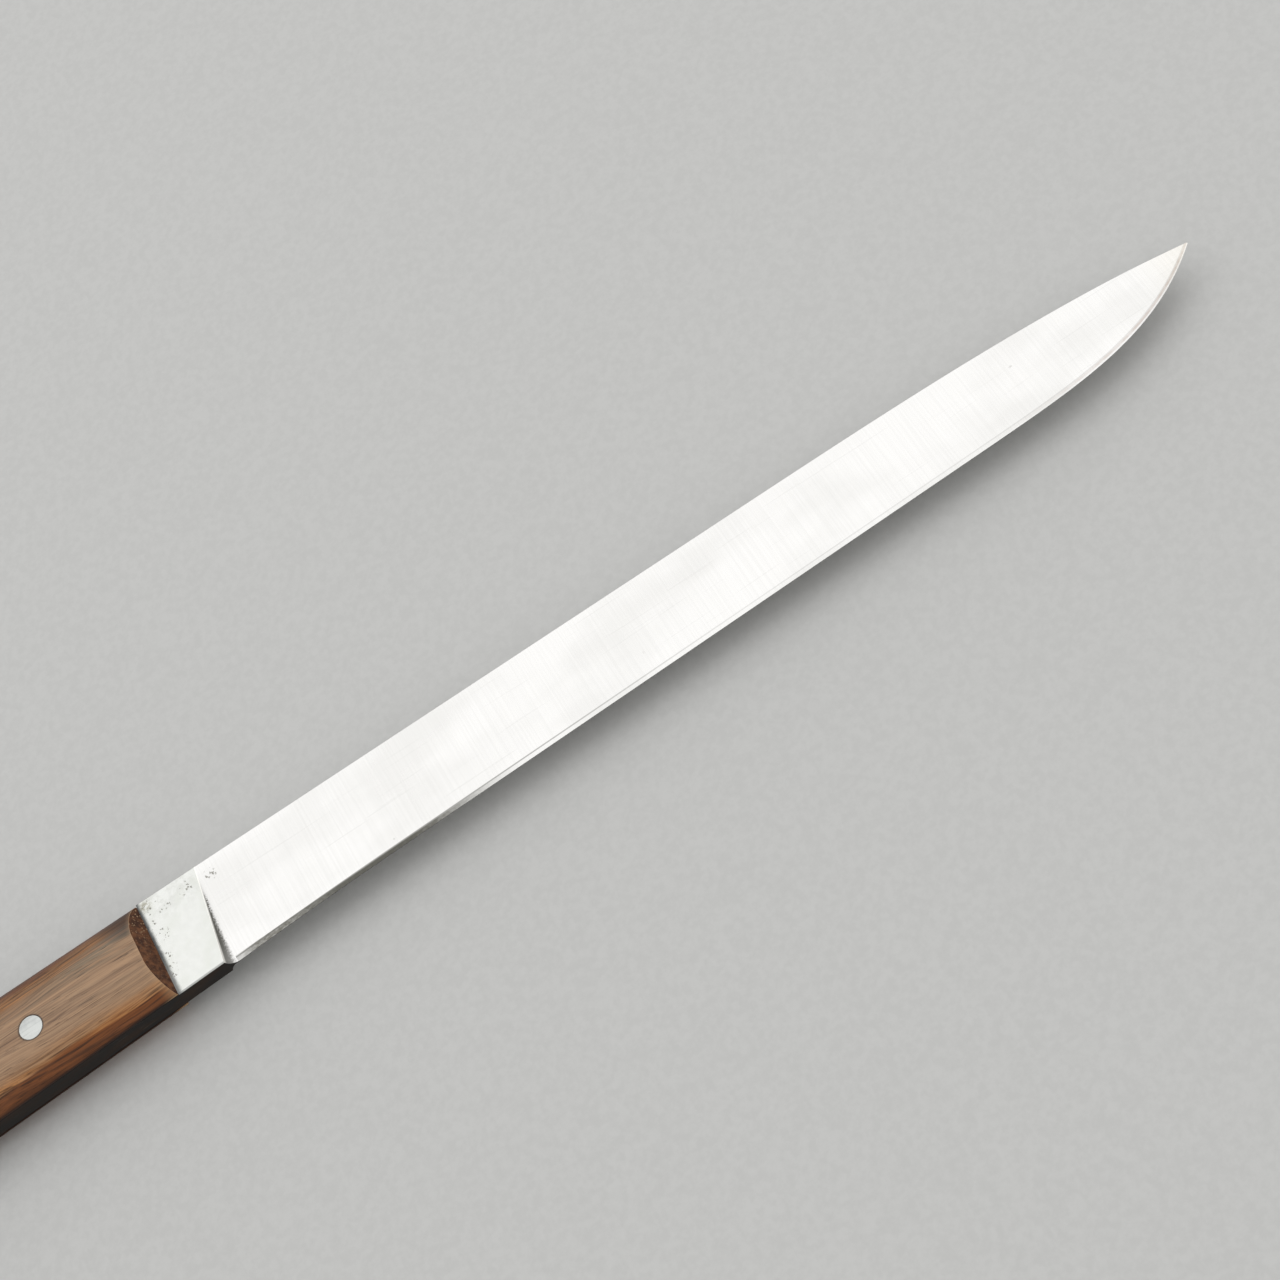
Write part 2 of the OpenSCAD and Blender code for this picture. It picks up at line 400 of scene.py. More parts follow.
def shapeScale():
    s = scaleSizes
    rise = scaleThickness + s["crownHeight"] - s["edge"]
    height = bladeSizes["heelHeight"]
    base = halfBar + s["edge"]

    def crown(share):
        power = 1 / (s["shoulderTop"] if share < 0.5 else s["shoulderLow"])
        return max(0, 1 - abs(2 * share - 1) ** s["crownPower"]) ** power

    def thinning(back):
        into = 1 - (handleLength - back) / s["buttThinningLength"]
        return 0 if into <= 0 else s["buttThinning"] * (1 - math.sqrt(max(0, 1 - into ** 2)))

    scale = addBlock("rightScale", (butt, -height, halfBar), (woodLine, 0, base + rise))
    editMode(scale)
    shares = [(1 - math.cos(math.pi * i / s["rows"])) / 2 for i in range(s["rows"] + 1)]
    columns = handleColumns()
    for share in shares[1:-1]:
        cut((0, -share * height, 0), axes["y"])
    for back in columns[1:-1]:
        cut((woodLine - back, 0, 0), axes["x"])
    # crown, one row at a time
    for share in shares:
        pickVerts(scale, lambda p: p.z > base and abs(p.y + share * height) < nearEnough)
        bpy.ops.transform.translate(value=(0, 0, rise * (crown(share) - 1) * mm))
    # outline and thinned butt, one column at a time
    for back in columns:
        x = woodLine - back
        top, low = handleTop(back), handleLow(back)
        pickVerts(scale, lambda p: abs(p.x - x) < nearEnough)
        bpy.ops.transform.resize(value=(1, (top - low) / height, 1), center_override=(0, 0, 0))
        bpy.ops.transform.translate(value=(0, top * mm, 0))
        if thinning(back) > 0:
            pickVerts(scale, lambda p: abs(p.x - x) < nearEnough and p.z > halfBar + nearEnough)
            bpy.ops.transform.resize(
                value=(1, 1, (rise - thinning(back)) / rise), center_override=(0, 0, base * mm))
    # flat sanded on the crown, with a narrow border that keeps its shading flat
    cut((0, 0, halfBar + scaleThickness), axes["z"], clear_outer=True, use_fill=True)
    pickFaces(scale, lambda centre, normal: centre.z > halfBar + scaleThickness - nearEnough)
    bpy.ops.mesh.inset(thickness=s["flatInset"] * mm)
    # bevelled front, leaning back from the wood line
    lean = math.radians(s["frontBevel"])
    front = Vector((math.cos(lean), 0, math.sin(lean)))
    cut((woodLine, 0, halfBar), front, clear_outer=True, use_fill=True)
    pickFaces(scale, lambda centre, normal: normal.dot(front) > 0.999)
    softenEdges(s["softEdge"], s["softSegments"])
    bpy.ops.mesh.select_all(action="SELECT")
    bpy.ops.mesh.remove_doubles(threshold=nearEnough * mm)
    objectMode()
    drillBores(scale)
    smoothByAngle(scale, s["smoothAngle"])
    return scale


def otherSide(scale):
    # the same scale on the far side of the bar
    copy = copyOf(scale, "leftScale")
    copy.scale.z = -1
    bpy.ops.object.transform_apply(location=True, rotation=True, scale=True)
    editMode(copy)
    bpy.ops.mesh.select_all(action="SELECT")
    bpy.ops.mesh.normals_make_consistent(inside=False)
    objectMode()
    return copy


def shapePin(name, node):
    # a rod whose two ends are filed flush, with a soft rim
    centre, size = pinPlace(node)
    pin = addRod(centre, size.x / 2, size.z)
    pin.name = pin.data.name = name
    editMode(pin)
    pickFaces(pin, lambda place, normal: abs(normal.z) > squareOn)
    softenEdges(pinSizes["rim"], pinSizes["rimSegments"])
    objectMode()
    smoothByAngle(pin, pinSizes["smoothAngle"])
    return pin


def copyPin(frontPin, name, node):
    # the same pin in another bore
    copy = copyOf(frontPin, name)
    copy.location = (pinPlace(node)[0] - pinPlace("front_pin")[0]) * mm
    bpy.ops.object.transform_apply(location=True, rotation=True, scale=True)
    return copy


# materials: shared steps
def linear(code):
    parts = [int(code[i:i + 2], 16) / 255 for i in (1, 3, 5)]
    return [c / 12.92 if c <= 0.04045 else ((c + 0.055) / 1.055) ** 2.4 for c in parts] + [1]


def addNode(tree, kind, settings=None, inputs=None):
    # an input is a number, a hex colour, a node's socket, or a node, whose first output it takes
    node = tree.nodes.new("ShaderNode" + kind)
    for key, value in (settings or {}).items():
        setattr(node, key, value)
    for key, value in (inputs or {}).items():
        socket = node.inputs[key] if isinstance(key, int) else next(
            s for s in node.inputs if s.enabled and s.name == key)
        if isinstance(value, bpy.types.Node):
            value = next(s for s in value.outputs if s.enabled)
        if isinstance(value, bpy.types.NodeSocket):
            tree.links.new(value, socket)
        else:
            socket.default_value = linear(value) if isinstance(value, str) else value
    return node


# settings that many nodes share
smooth = {"interpolation_type": "SMOOTHSTEP"}
times, minus, plus = {"operation": "MULTIPLY"}, {"operation": "SUBTRACT"}, {"operation": "ADD"}
timesPlus, larger = {"operation": "MULTIPLY_ADD"}, {"operation": "MAXIMUM"}
absolute, distance = {"operation": "ABSOLUTE"}, {"operation": "DISTANCE"}


def newMaterial(name):
    material = bpy.data.materials.new(name)
    material.use_nodes = True
    tree = material.node_tree
    tree.nodes.clear()
    shader = addNode(tree, "BsdfPrincipled")
    addNode(tree, "OutputMaterial", inputs={"Surface": shader})
    # places in mm, from the plunge (x), the spine line (y) and the middle of the bar (z)
    objectPlaces = addNode(tree, "TexCoord").outputs["Object"]
    places = addNode(tree, "Mapping", inputs={
        "Vector": objectPlaces, "Location": -plunge, "Scale": (1 / mm, 1 / mm, 1 / mm)})
    return material, tree, shader, places


def patches(tree, places, size, low, high, detail=3):
    # cloudy mask: size is how far a patch reaches along and across the knife, in mm, and the mask
    # goes from 0 to 1 as the noise goes from low to high
    perAlong, perAcross = 1 / size[0], 1 / size[1]
    grid = addNode(tree, "Mapping", inputs={
        "Vector": places, "Scale": (perAlong, perAcross, perAcross)})
    noise = addNode(tree, "TexNoise", inputs={
        "Vector": grid, "Scale": 1, "Detail": detail, "Roughness": 0.55})
    return addNode(tree, "MapRange", smooth, {
        "Value": noise.outputs[0], "From Min": low, "From Max": high})


def dots(tree, places, size, bareShare):
    # round marks on a jittered grid: size is their spacing and their radius in mm
    spacing, radius = size
    grid = addNode(tree, "Mapping", inputs={"Vector": places, "Scale": [1 / spacing] * 3})
    cells = addNode(tree, "TexVoronoi", inputs={"Vector": grid, "Scale": 1, "Randomness": 1})
    luck = addNode(tree, "SeparateXYZ", inputs={"Vector": cells.outputs["Color"]}).outputs[0]
    size = addNode(tree, "MapRange", inputs={
        "Value": luck, "From Min": bareShare, "To Max": radius / spacing})
    edge = addNode(tree, "Math", minus, {0: size, 1: cells.outputs["Distance"]})
    return addNode(tree, "MapRange", smooth, {"Value": edge, "From Min": -0.04, "From Max": 0.06})


def stain(tree, colour, mask, strength, tint):
    # lays a tint over a colour where the mask is 1
    share = addNode(tree, "Math", {"operation": "MULTIPLY", "use_clamp": True}, {
        0: mask, 1: strength})
    mix = addNode(tree, "Mix", {"data_type": "RGBA"}, {"Factor": share, "A": colour, "B": tint})
    return mix.outputs[2]


# what a user would change on the ground steel, in mm
steelLooks = {
    "bare": "#E6E5E3", "cloud": "#D8D7D4", "cloudSize": (34, 15), "roughness": 0.2,
    "grindLine": "#BDBDBA", "lineSize": (0.45, 26), "lineStrength": 0.13,
    "scratch": "#B4B4B0", "scratchSize": (30, 0.7), "scratchStrength": 0.1,
    "ricasso": "#D9DAD6", "ricassoCloud": "#C9CAC5", "blotchSize": (1.5, 1.5),
    "ricassoGreen": "#D1D3CC", "greenSize": (5, 5),
    "plungeCornerHighlight": "#F2F0EA", "coveShade": "#5E5D55", "coveTop": -5.5, "coveReach": 2,
    "woodLineShade": "#3B4144", "woodLineWidth": 0.9,
    # places are ahead of the plunge and above the spine line
    "brownCorner": "#85806C", "brownPlace": (-10.2, -1.6), "brownReach": 1.9,
    "brownSize": (0.7, 0.7), "pit": "#9A988F", "pitSize": (0.5, 0.27), "strayPitSize": (9, 0.45),
    # where the steel is pitted, and how far the pits spread
    "pitted": [(3.9, -3.7, 1.8), (-1.2, -3.3, 2.2), (-6.8, -4.3, 1.9), (-9.6, -2.4, 2.4),
               (-9.6, -9.4, 2.1), (-10.6, -6.2, 1.3), (-10.8, -17.6, 2.2), (-10.4, -14.2, 1.2)],
    # edge bevel; the rose starts and is full at these shares of the blade's length
    "honedAndReflected": "#66645C", "honedFade": (42, 70), "mottleSize": (0.8, 0.45),
    "darkReflection": "#56554F", "darkestAlong": 33, "darkestReach": 26,
    "shoulderShade": "#6E6D68", "shoulderFade": (50, 125),
    "bevelRose": "#BFB4AD", "roseFade": (0.74, 0.97), "roseSize": (2.5, 1.5),
    "tipTint": "#E2D9C2", "tipTintLength": 14,
}


def groundSteel():
    # carbon steel, ground across and buffed: nearly white under the lamp, with faint cross lines,
    # cloudy handling marks, and pits and dirt where a cloth never reaches; a painted highlight lies
    # on the plunge corner, and painted shade in the cove and along the wood line
    s = steelLooks
    b = bladeSizes
    material, tree, shader, places = newMaterial("groundCarbonSteel")
    spot = addNode(tree, "SeparateXYZ", inputs={"Vector": places})
    along, down = spot.outputs[0], spot.outputs[1]
    bladeMap = addNode(tree, "UVMap", {"uv_map": "bladeMap"})
    bladeMap = addNode(tree, "SeparateXYZ", inputs={"Vector": bladeMap})
    mapAlong, aboveEdge = bladeMap.outputs[0], bladeMap.outputs[1]

    # ground face; the real grinding lines lie 0.1 mm apart, and are drawn coarser so that they show
    clouds = patches(tree, places, s["cloudSize"], 0.4, 0.7)
    crossLines = patches(tree, places, s["lineSize"], 0.3, 0.75, detail=2)
    scratches = patches(tree, places, s["scratchSize"], 0.66, 0.72, detail=1)
    colour = stain(tree, s["bare"], clouds, 0.5, s["cloud"])
    colour = stain(tree, colour, crossLines, s["lineStrength"], s["grindLine"])
    colour = stain(tree, colour, scratches, s["scratchStrength"], s["scratch"])

    # ricasso, behind the slanted plunge line: a shade greyer, and tarnished towards the spine
    slant = (b["plungeLead"] + b["plungeLag"]) / b["heelHeight"]
    lineBack = addNode(tree, "Math", timesPlus, {0: down, 1: -slant, 2: along})
    ahead = addNode(tree, "Math", minus, {0: lineBack, 1: b["plungeLead"]})
    onRicasso = addNode(tree, "MapRange", smooth, {
        "Value": ahead, "From Min": 0.1, "From Max": -0.2})
    colour = stain(tree, colour, onRicasso, 0.9, s["ricasso"])
    high = addNode(tree, "MapRange", smooth, {
        "Value": down, "From Min": -9, "From Max": -1, "To Min": 0.25})
    tarnish = addNode(tree, "Math", times, {0: onRicasso, 1: high})
    blotches = addNode(tree, "Math", times, {
        0: tarnish, 1: patches(tree, places, s["blotchSize"], 0.35, 0.7)})
    colour = stain(tree, colour, blotches, 0.8, s["ricassoCloud"])
    greenish = addNode(tree, "Math", times, {
        0: onRicasso, 1: patches(tree, places, s["greenSize"], 0.4, 0.65, detail=2)})
    colour = stain(tree, colour, greenish, 0.6, s["ricassoGreen"])

    # the corner of the plunge is lighter, a painted highlight, and the cove below it is dull, its
    # dark colour painted shade
    fromCorner = addNode(tree, "Math", absolute, {0: ahead})
    edgeHighlight = addNode(tree, "MapRange", smooth, {
        "Value": fromCorner, "From Min": 0.2, "From Max": 0.04})
    colour = stain(tree, colour, edgeHighlight, 0.8, s["plungeCornerHighlight"])
    reach = addNode(tree, "MapRange", inputs={
        "Value": down, "From Min": s["coveTop"], "From Max": -b["heelHeight"],
        "To Min": 0.15, "To Max": s["coveReach"]})
    uneven = addNode(tree, "TexNoise", inputs={
        "Vector": places, "Scale": 3.2, "Detail": 4, "Roughness": 0.75})
    wander = addNode(tree, "Math", timesPlus, {0: uneven, 1: 2.2, 2: -1.1})
    wander = addNode(tree, "Math", plus, {0: wander, 1: ahead})
    share = addNode(tree, "Math", {"operation": "DIVIDE"}, {0: wander, 1: reach})
    cove = addNode(tree, "MapRange", smooth, {"Value": share, "From Min": 1, "From Max": 0.35})
    pastCorner = addNode(tree, "MapRange", smooth, {
        "Value": ahead, "From Min": 0.03, "From Max": 0.2})
    starts = addNode(tree, "MapRange", smooth, {
        "Value": down, "From Min": s["coveTop"], "From Max": s["coveTop"] - 2.5})
    fades = addNode(tree, "MapRange", smooth, {
        "Value": down, "From Min": -17, "From Max": -b["heelHeight"], "To Min": 1, "To Max": 0.8})
    for part in (pastCorner, starts, fades):
        cove = addNode(tree, "Math", times, {0: cove, 1: part})
    colour = stain(tree, colour, cove, 0.95, s["coveShade"])

    # a soft dark line where the wood meets the steel, painted shadow and painted reflection of the
    # wood in the steel, fainter low down
    fromWood = addNode(tree, "Math", minus, {0: along, 1: woodLine})
    width = addNode(tree, "MapRange", inputs={
        "Value": down, "From Min": -2, "From Max": -20,
        "To Min": 0.75 * s["woodLineWidth"], "To Max": 1.05 * s["woodLineWidth"]})
    ragged = addNode(tree, "TexNoise", inputs={
        "Vector": places, "Scale": 1.1, "Detail": 4, "Roughness": 0.65})
    width = addNode(tree, "Math", timesPlus, {0: ragged, 1: 0.5, 2: width})
    inLine = addNode(tree, "Math", minus, {0: width, 1: fromWood})
    seam = addNode(tree, "MapRange", smooth, {"Value": inLine, "From Min": -0.1, "From Max": 0.95})
    seamFade = addNode(tree, "MapRange", smooth, {
        "Value": down, "From Min": -12, "From Max": -19, "To Min": 0.9, "To Max": 0.6})
    colour = stain(tree, colour, seam, seamFade, s["woodLineShade"])

    # pits, only inside the pitted places, and a brownish corner above the wood
    flatPlaces = addNode(tree, "CombineXYZ", inputs={"X": along, "Y": down})
    near = None
    for x, y, spread in s["pitted"]:
        gap = addNode(tree, "VectorMath", distance, {0: flatPlaces, 1: (x, y, 0)})
        here = addNode(tree, "MapRange", smooth, {
            "Value": gap.outputs["Value"], "From Min": spread, "From Max": 0.5 * spread})
        near = here if near is None else addNode(tree, "Math", larger, {0: near, 1: here})
    warp = addNode(tree, "TexNoise", inputs={"Vector": flatPlaces, "Scale": 3.1, "Detail": 3})
    bent = addNode(tree, "VectorMath", timesPlus, {
        0: warp.outputs["Color"], 1: (0.8, 0.8, 0), 2: flatPlaces})
    pits = dots(tree, bent, s["pitSize"], bareShare=0.25)
    pits = addNode(tree, "Math", times, {0: pits, 1: near})
    stray = dots(tree, bent, s["strayPitSize"], bareShare=0.86)
    pits = addNode(tree, "Math", larger, {0: pits, 1: stray})
    colour = stain(tree, colour, pits, 0.75, s["pit"])
    gap = addNode(tree, "VectorMath", distance, {0: flatPlaces, 1: (*s["brownPlace"], 0)})
    brownish = addNode(tree, "MapRange", smooth, {
        "Value": gap.outputs["Value"], "From Min": s["brownReach"], "From Max": 0.4})
    brownish = addNode(tree, "Math", times, {
        0: brownish, 1: patches(tree, places, s["brownSize"], 0.35, 0.6)})
    colour = stain(tree, colour, brownish, 0.7, s["brownCorner"])

    # edge bevel: mottled grey from honing at the heel, darkest a little ahead of it, bright in the
    # middle, then greyish rose from the belly to the tip; the grey at the heel and the darkest part
    # are partly painted dark reflection, and the grey line on the shoulder is painted shade at its
    # crease
    bevelTop = addNode(tree, "MapRange", inputs={
        "Value": mapAlong, "From Min": 0, "From Max": 30, "To Min": 1.2, "To Max": 0.8})
    inBevel = addNode(tree, "Math", minus, {0: bevelTop, 1: aboveEdge})
    inBevel = addNode(tree, "MapRange", smooth, {
        "Value": inBevel, "From Min": -0.1, "From Max": 0.12})
    onBlade = addNode(tree, "Math", {"operation": "GREATER_THAN"}, {0: mapAlong, 1: 0.9})
    inBevel = addNode(tree, "Math", times, {0: inBevel, 1: onBlade})
    mottle = addNode(tree, "Math", times, {
        0: inBevel, 1: addNode(tree, "MapRange", inputs={
            "Value": patches(tree, places, s["mottleSize"], 0.3, 0.65), "To Min": 0.75})})
    rear = addNode(tree, "MapRange", smooth, {
        "Value": mapAlong, "From Min": s["honedFade"][1], "From Max": s["honedFade"][0]})
    heel = addNode(tree, "MapRange", smooth, {
        "Value": mapAlong, "From Min": 1, "From Max": 6, "To Min": 0.45})
    honedAndReflected = addNode(tree, "Math", times, {0: rear, 1: mottle})
    honedAndReflected = addNode(tree, "Math", times, {0: honedAndReflected, 1: heel})
    colour = stain(tree, colour, honedAndReflected, 0.95, s["honedAndReflected"])
    fromDarkest = addNode(tree, "Math", minus, {0: mapAlong, 1: s["darkestAlong"]})
    fromDarkest = addNode(tree, "Math", absolute, {0: fromDarkest})
    darkest = addNode(tree, "MapRange", smooth, {
        "Value": fromDarkest, "From Min": s["darkestReach"], "From Max": 5})
    darkest = addNode(tree, "Math", times, {0: darkest, 1: inBevel})
    colour = stain(tree, colour, darkest, 0.9, s["darkReflection"])
    fromShoulder = addNode(tree, "Math", minus, {0: aboveEdge, 1: b["edgeBevel"]})
    fromShoulder = addNode(tree, "Math", absolute, {0: fromShoulder})
    line = addNode(tree, "MapRange", smooth, {
        "Value": fromShoulder, "From Min": 0.22, "From Max": 0.04})
    line = addNode(tree, "Math", times, {0: line, 1: onBlade})
    lineStrength = addNode(tree, "MapRange", smooth, {
        "Value": mapAlong, "From Min": s["shoulderFade"][1], "From Max": s["shoulderFade"][0],
        "To Min": 0.18, "To Max": 0.7})
    colour = stain(tree, colour, line, lineStrength, s["shoulderShade"])
    belly = addNode(tree, "MapRange", smooth, {
        "Value": mapAlong, "From Min": s["roseFade"][0] * bladeLength,
        "From Max": s["roseFade"][1] * bladeLength})
    offEdge = addNode(tree, "MapRange", smooth, {
        "Value": aboveEdge, "From Min": 0.2, "From Max": 0.42})
    rose = addNode(tree, "MapRange", inputs={
        "Value": patches(tree, places, s["roseSize"], 0.35, 0.65), "To Min": 0.6})
    for part in (belly, offEdge, inBevel):
        rose = addNode(tree, "Math", times, {0: rose, 1: part})
    colour = stain(tree, colour, rose, 0.9, s["bevelRose"])
    tip = addNode(tree, "MapRange", smooth, {
        "Value": mapAlong, "From Min": bladeLength - s["tipTintLength"], "From Max": bladeLength})
    colour = stain(tree, colour, tip, 0.2, s["tipTint"])

    dull = addNode(tree, "Math", larger, {0: pits, 1: cove})
    dull = addNode(tree, "Math", larger, {0: dull, 1: seam})
    polish = addNode(tree, "MapRange", inputs={
        "Value": clouds, "To Min": s["roughness"], "To Max": s["roughness"] + 0.08})
    roughness = addNode(tree, "MapRange", inputs={"Value": dull, "To Max": 0.7})
    roughness = addNode(tree, "Math", larger, {0: roughness, 1: polish})
    height = addNode(tree, "Math", timesPlus, {0: crossLines, 1: 0.2, 2: pits})
    bump = addNode(tree, "Bump", {"invert": True}, {
        "Height": height, "Strength": 0.3, "Distance": 0.04 * mm})
    metal = addNode(tree, "MapRange", inputs={"Value": dull, "To Min": 1, "To Max": 0.5})
    tree.links.new(metal.outputs[0], shader.inputs["Metallic"])
    tree.links.new(colour, shader.inputs["Base Color"])
    tree.links.new(roughness.outputs[0], shader.inputs["Roughness"])
    tree.links.new(bump.outputs[0], shader.inputs["Normal"])
    return material


# what a user would change on the tarnished narrow faces, whose dark is partly painted shade, in mm
tarnishAndShadeLooks = {
    "dark": "#1B1714", "brown": "#362A22", "cloudSize": (9, 1.6),
    "bare": "#6E6963", "scratchSize": (14, 0.22), "roughness": 0.52, "metallic": 0.6,
}


def tarnishedAndShadedSteel():
    # carbon steel left to darken: nearly black brown, partly tarnish and partly painted shade of
    # the underside, worn to grey along a few scratches
    s = tarnishAndShadeLooks
    material, tree, shader, places = newMaterial("tarnishedAndShadedCarbonSteel")
    clouds = patches(tree, places, s["cloudSize"], 0.4, 0.7, detail=4)
    worn = patches(tree, places, s["scratchSize"], 0.62, 0.78)
    colour = stain(tree, s["dark"], clouds, 1, s["brown"])
    colour = stain(tree, colour, worn, 0.4, s["bare"])
    roughness = addNode(tree, "MapRange", inputs={
        "Value": clouds, "To Min": s["roughness"] - 0.08, "To Max": s["roughness"] + 0.15})
    bump = addNode(tree, "Bump", inputs={"Height": worn, "Strength": 0.2, "Distance": 0.03 * mm})
    shader.inputs["Metallic"].default_value = s["metallic"]
    tree.links.new(colour, shader.inputs["Base Color"])
    tree.links.new(roughness.outputs[0], shader.inputs["Roughness"])
    tree.links.new(bump.outputs[0], shader.inputs["Normal"])
    return material


# what a user would change on the wood, in mm
woodLooks = {
    "body": "#7D5D42", "light": "#AA8766", "bandSize": (75, 2.4), "fibreSize": (26, 0.3),
    "streak": "#442A1A", "veinSize": (40, 0.8), "sideVeinSize": (18, 0.7),
    "pore": "#2A190F", "poreSize": (6, 0.17), "crackSize": (20, 0.26),
    "ash": "#615D4E", "ashSize": (22, 0.9),
    "ember": "#B87A40", "emberSize": (22, 1.1), "rust": "#6A3412", "rustSize": (20, 0.8),
    "woodDarkening": "#24140C", "woodDarkeningSize": (11, 0.9), "spineShadeSize": (9, 1.2),
    "darkCorner": (-2, -1.5), "darkCornerReach": 9.5,    # from the wood line and the spine line
    "endGrain": "#41271A", "endBrown": "#71492F", "endSize": (2.2, 1.5),
    "endSpeck": "#A88A6A", "speckSize": (0.42, 0.2), "edgeHighlight": "#C09A72",
    "pinRingShade": "#2B211C", "pinRingReach": 0.4,
    "roughness": 0.45, "gloss": 0.25, "film": 0.5, "filmRoughness": 0.4,
}


def rosewood():
    # rosewood sawn along the grain, sanded flat and oiled: pinkish brown bands with dark fibres and
    # open pores, more orange on the rounded sides where the oil lies thick, dark on the end grain;
    # painted shade darkens the front bevel, the edge beside the steel and the spine side, and a
    # painted highlight lies on the front's soft corner
    s = woodLooks
    top = halfBar + scaleThickness
    material, tree, shader, places = newMaterial("oiledRosewood")
    drift = addNode(tree, "Mapping", inputs={"Vector": places, "Scale": (1 / 45, 1 / 12, 1 / 12)})
    drift = addNode(tree, "TexNoise", inputs={"Vector": drift, "Scale": 1, "Detail": 2})
    wavy = addNode(tree, "VectorMath", timesPlus, {
        0: drift.outputs["Color"], 1: (0, 4.5, 4.5), 2: places})
    bands = patches(tree, wavy, s["bandSize"], 0.34, 0.64)
    fibres = patches(tree, wavy, s["fibreSize"], 0.38, 0.7, detail=4)
    veins = patches(tree, wavy, s["veinSize"], 0.6, 0.72)
    cracks = patches(tree, wavy, s["crackSize"], 0.655, 0.72, detail=2)
    pores = patches(tree, wavy, s["poreSize"], 0.66, 0.74, detail=1)
    colour = stain(tree, s["body"], bands, 1, s["light"])
    spot = addNode(tree, "SeparateXYZ", inputs={"Vector": places})
    along, across, height = spot.outputs
    lower = addNode(tree, "MapRange", smooth, {"Value": across, "From Min": -12, "From Max": -17})
    colour = stain(tree, colour, lower, 0.75, s["light"])

    # greenish grey streaks, mostly in the upper third near the front
    upper = addNode(tree, "MapRange", smooth, {
        "Value": across, "From Min": -13, "From Max": -6, "To Min": 0.2})
    nearFront = addNode(tree, "MapRange", smooth, {
        "Value": along, "From Min": woodLine - 45, "From Max": woodLine - 12, "To Min": 0.45})
    ash = addNode(tree, "Math", times, {
        0: upper, 1: patches(tree, wavy, s["ashSize"], 0.42, 0.6, detail=4)})
    ash = addNode(tree, "Math", times, {0: ash, 1: nearFront})
    colour = stain(tree, colour, ash, 0.75, s["ash"])

    # oil on the rounded sides: orange first, higher up on the spine side and lower down at the
    # front, then rust brown down to the steel, frayed along the grain
    depth = addNode(tree, "Math", absolute, {0: height})
    spineHalf = addNode(tree, "MapRange", inputs={
        "Value": across, "From Min": -12, "From Max": -8, "To Max": 0.7})
    frontEnd = addNode(tree, "MapRange", inputs={
        "Value": along, "From Min": woodLine - 20, "From Max": woodLine - 6, "To Max": 0.5})
    oilDepth = addNode(tree, "Math", minus, {0: depth, 1: spineHalf})
    oilDepth = addNode(tree, "Math", plus, {0: oilDepth, 1: frontEnd})
    rounded = addNode(tree, "MapRange", smooth, {
        "Value": oilDepth, "From Min": top - 0.4, "From Max": top - 1.8})
    ember = addNode(tree, "Math", times, {
        0: rounded, 1: addNode(tree, "MapRange", inputs={
            "Value": patches(tree, wavy, s["emberSize"], 0.3, 0.62), "To Min": 0.3})})
    colour = stain(tree, colour, ember, 0.8, s["ember"])
    rustTop = addNode(tree, "MapRange", inputs={
        "Value": along, "From Min": woodLine - 8, "From Max": woodLine - 26,
        "To Min": top - 2.6, "To Max": top - 1.9})
    rustTop = addNode(tree, "Math", timesPlus, {
        0: patches(tree, wavy, s["rustSize"], 0.3, 0.7), 1: 0.9, 2: rustTop})
    deep = addNode(tree, "Math", minus, {0: rustTop, 1: depth})
    deep = addNode(tree, "MapRange", smooth, {"Value": deep, "From Max": 0.8})
    colour = stain(tree, colour, deep, 0.82, s["rust"])
    sideVeins = addNode(tree, "Math", times, {
        0: rounded, 1: patches(tree, wavy, s["sideVeinSize"], 0.5, 0.66)})
    colour = stain(tree, colour, sideVeins, 0.8, s["streak"])

    # fibres, veins, cracks and open pores run through all of it
    colour = stain(tree, colour, fibres, 0.42, s["streak"])
    colour = stain(tree, colour, veins, 0.5, s["streak"])
    colour = stain(tree, colour, cracks, 0.7, s["pore"])
    colour = stain(tree, colour, pores, 0.55, s["pore"])

    # the wood is darker up from the steel, further towards the butt, and in the upper front corner;
    # a painted shadow, partly dirt, runs beside the steel, and the spine side carries painted shade
    above = addNode(tree, "Math", minus, {0: depth, 1: halfBar})
    creep = addNode(tree, "MapRange", inputs={
        "Value": along, "From Min": woodLine - 6, "From Max": woodLine - 38,
        "To Min": 0.7, "To Max": 3.4})
    share = addNode(tree, "Math", {"operation": "DIVIDE"}, {0: above, 1: creep})
    share = addNode(tree, "Math", timesPlus, {
        0: patches(tree, wavy, s["woodDarkeningSize"], 0.3, 0.7), 1: 0.8, 2: share})
    woodDarkening = addNode(tree, "MapRange", smooth, {"Value": share, "From Min": 1.3, "From Max": 0.5})
    colour = stain(tree, colour, woodDarkening, 0.5, s["woodDarkening"])
    # painted shadow, partly dirt, along the wood's edge beside the steel
    besideSteel = addNode(tree, "MapRange", smooth, {
        "Value": above, "From Min": 0.75, "From Max": 0.3})
    colour = stain(tree, colour, besideSteel, 0.85, s["woodDarkening"])
    flatPlaces = addNode(tree, "VectorMath", times, {0: places, 1: (1, 1, 0)})
    cornerPlace = (woodLine + s["darkCorner"][0], s["darkCorner"][1], 0)
    gap = addNode(tree, "VectorMath", distance, {0: flatPlaces, 1: cornerPlace})
    corner = addNode(tree, "MapRange", smooth, {
        "Value": gap.outputs["Value"], "From Min": s["darkCornerReach"], "From Max": 2.5})
    colour = stain(tree, colour, corner, 0.85, s["woodDarkening"])
    # painted shade on the spine side
    spineSide = addNode(tree, "MapRange", smooth, {
        "Value": across, "From Min": -7.2, "From Max": -1.6})
    spineSide = addNode(tree, "Math", times, {
        0: spineSide, 1: addNode(tree, "MapRange", inputs={
            "Value": patches(tree, wavy, s["spineShadeSize"], 0.3, 0.7), "To Min": 0.6})})
    colour = stain(tree, colour, spineSide, 0.62, s["streak"])
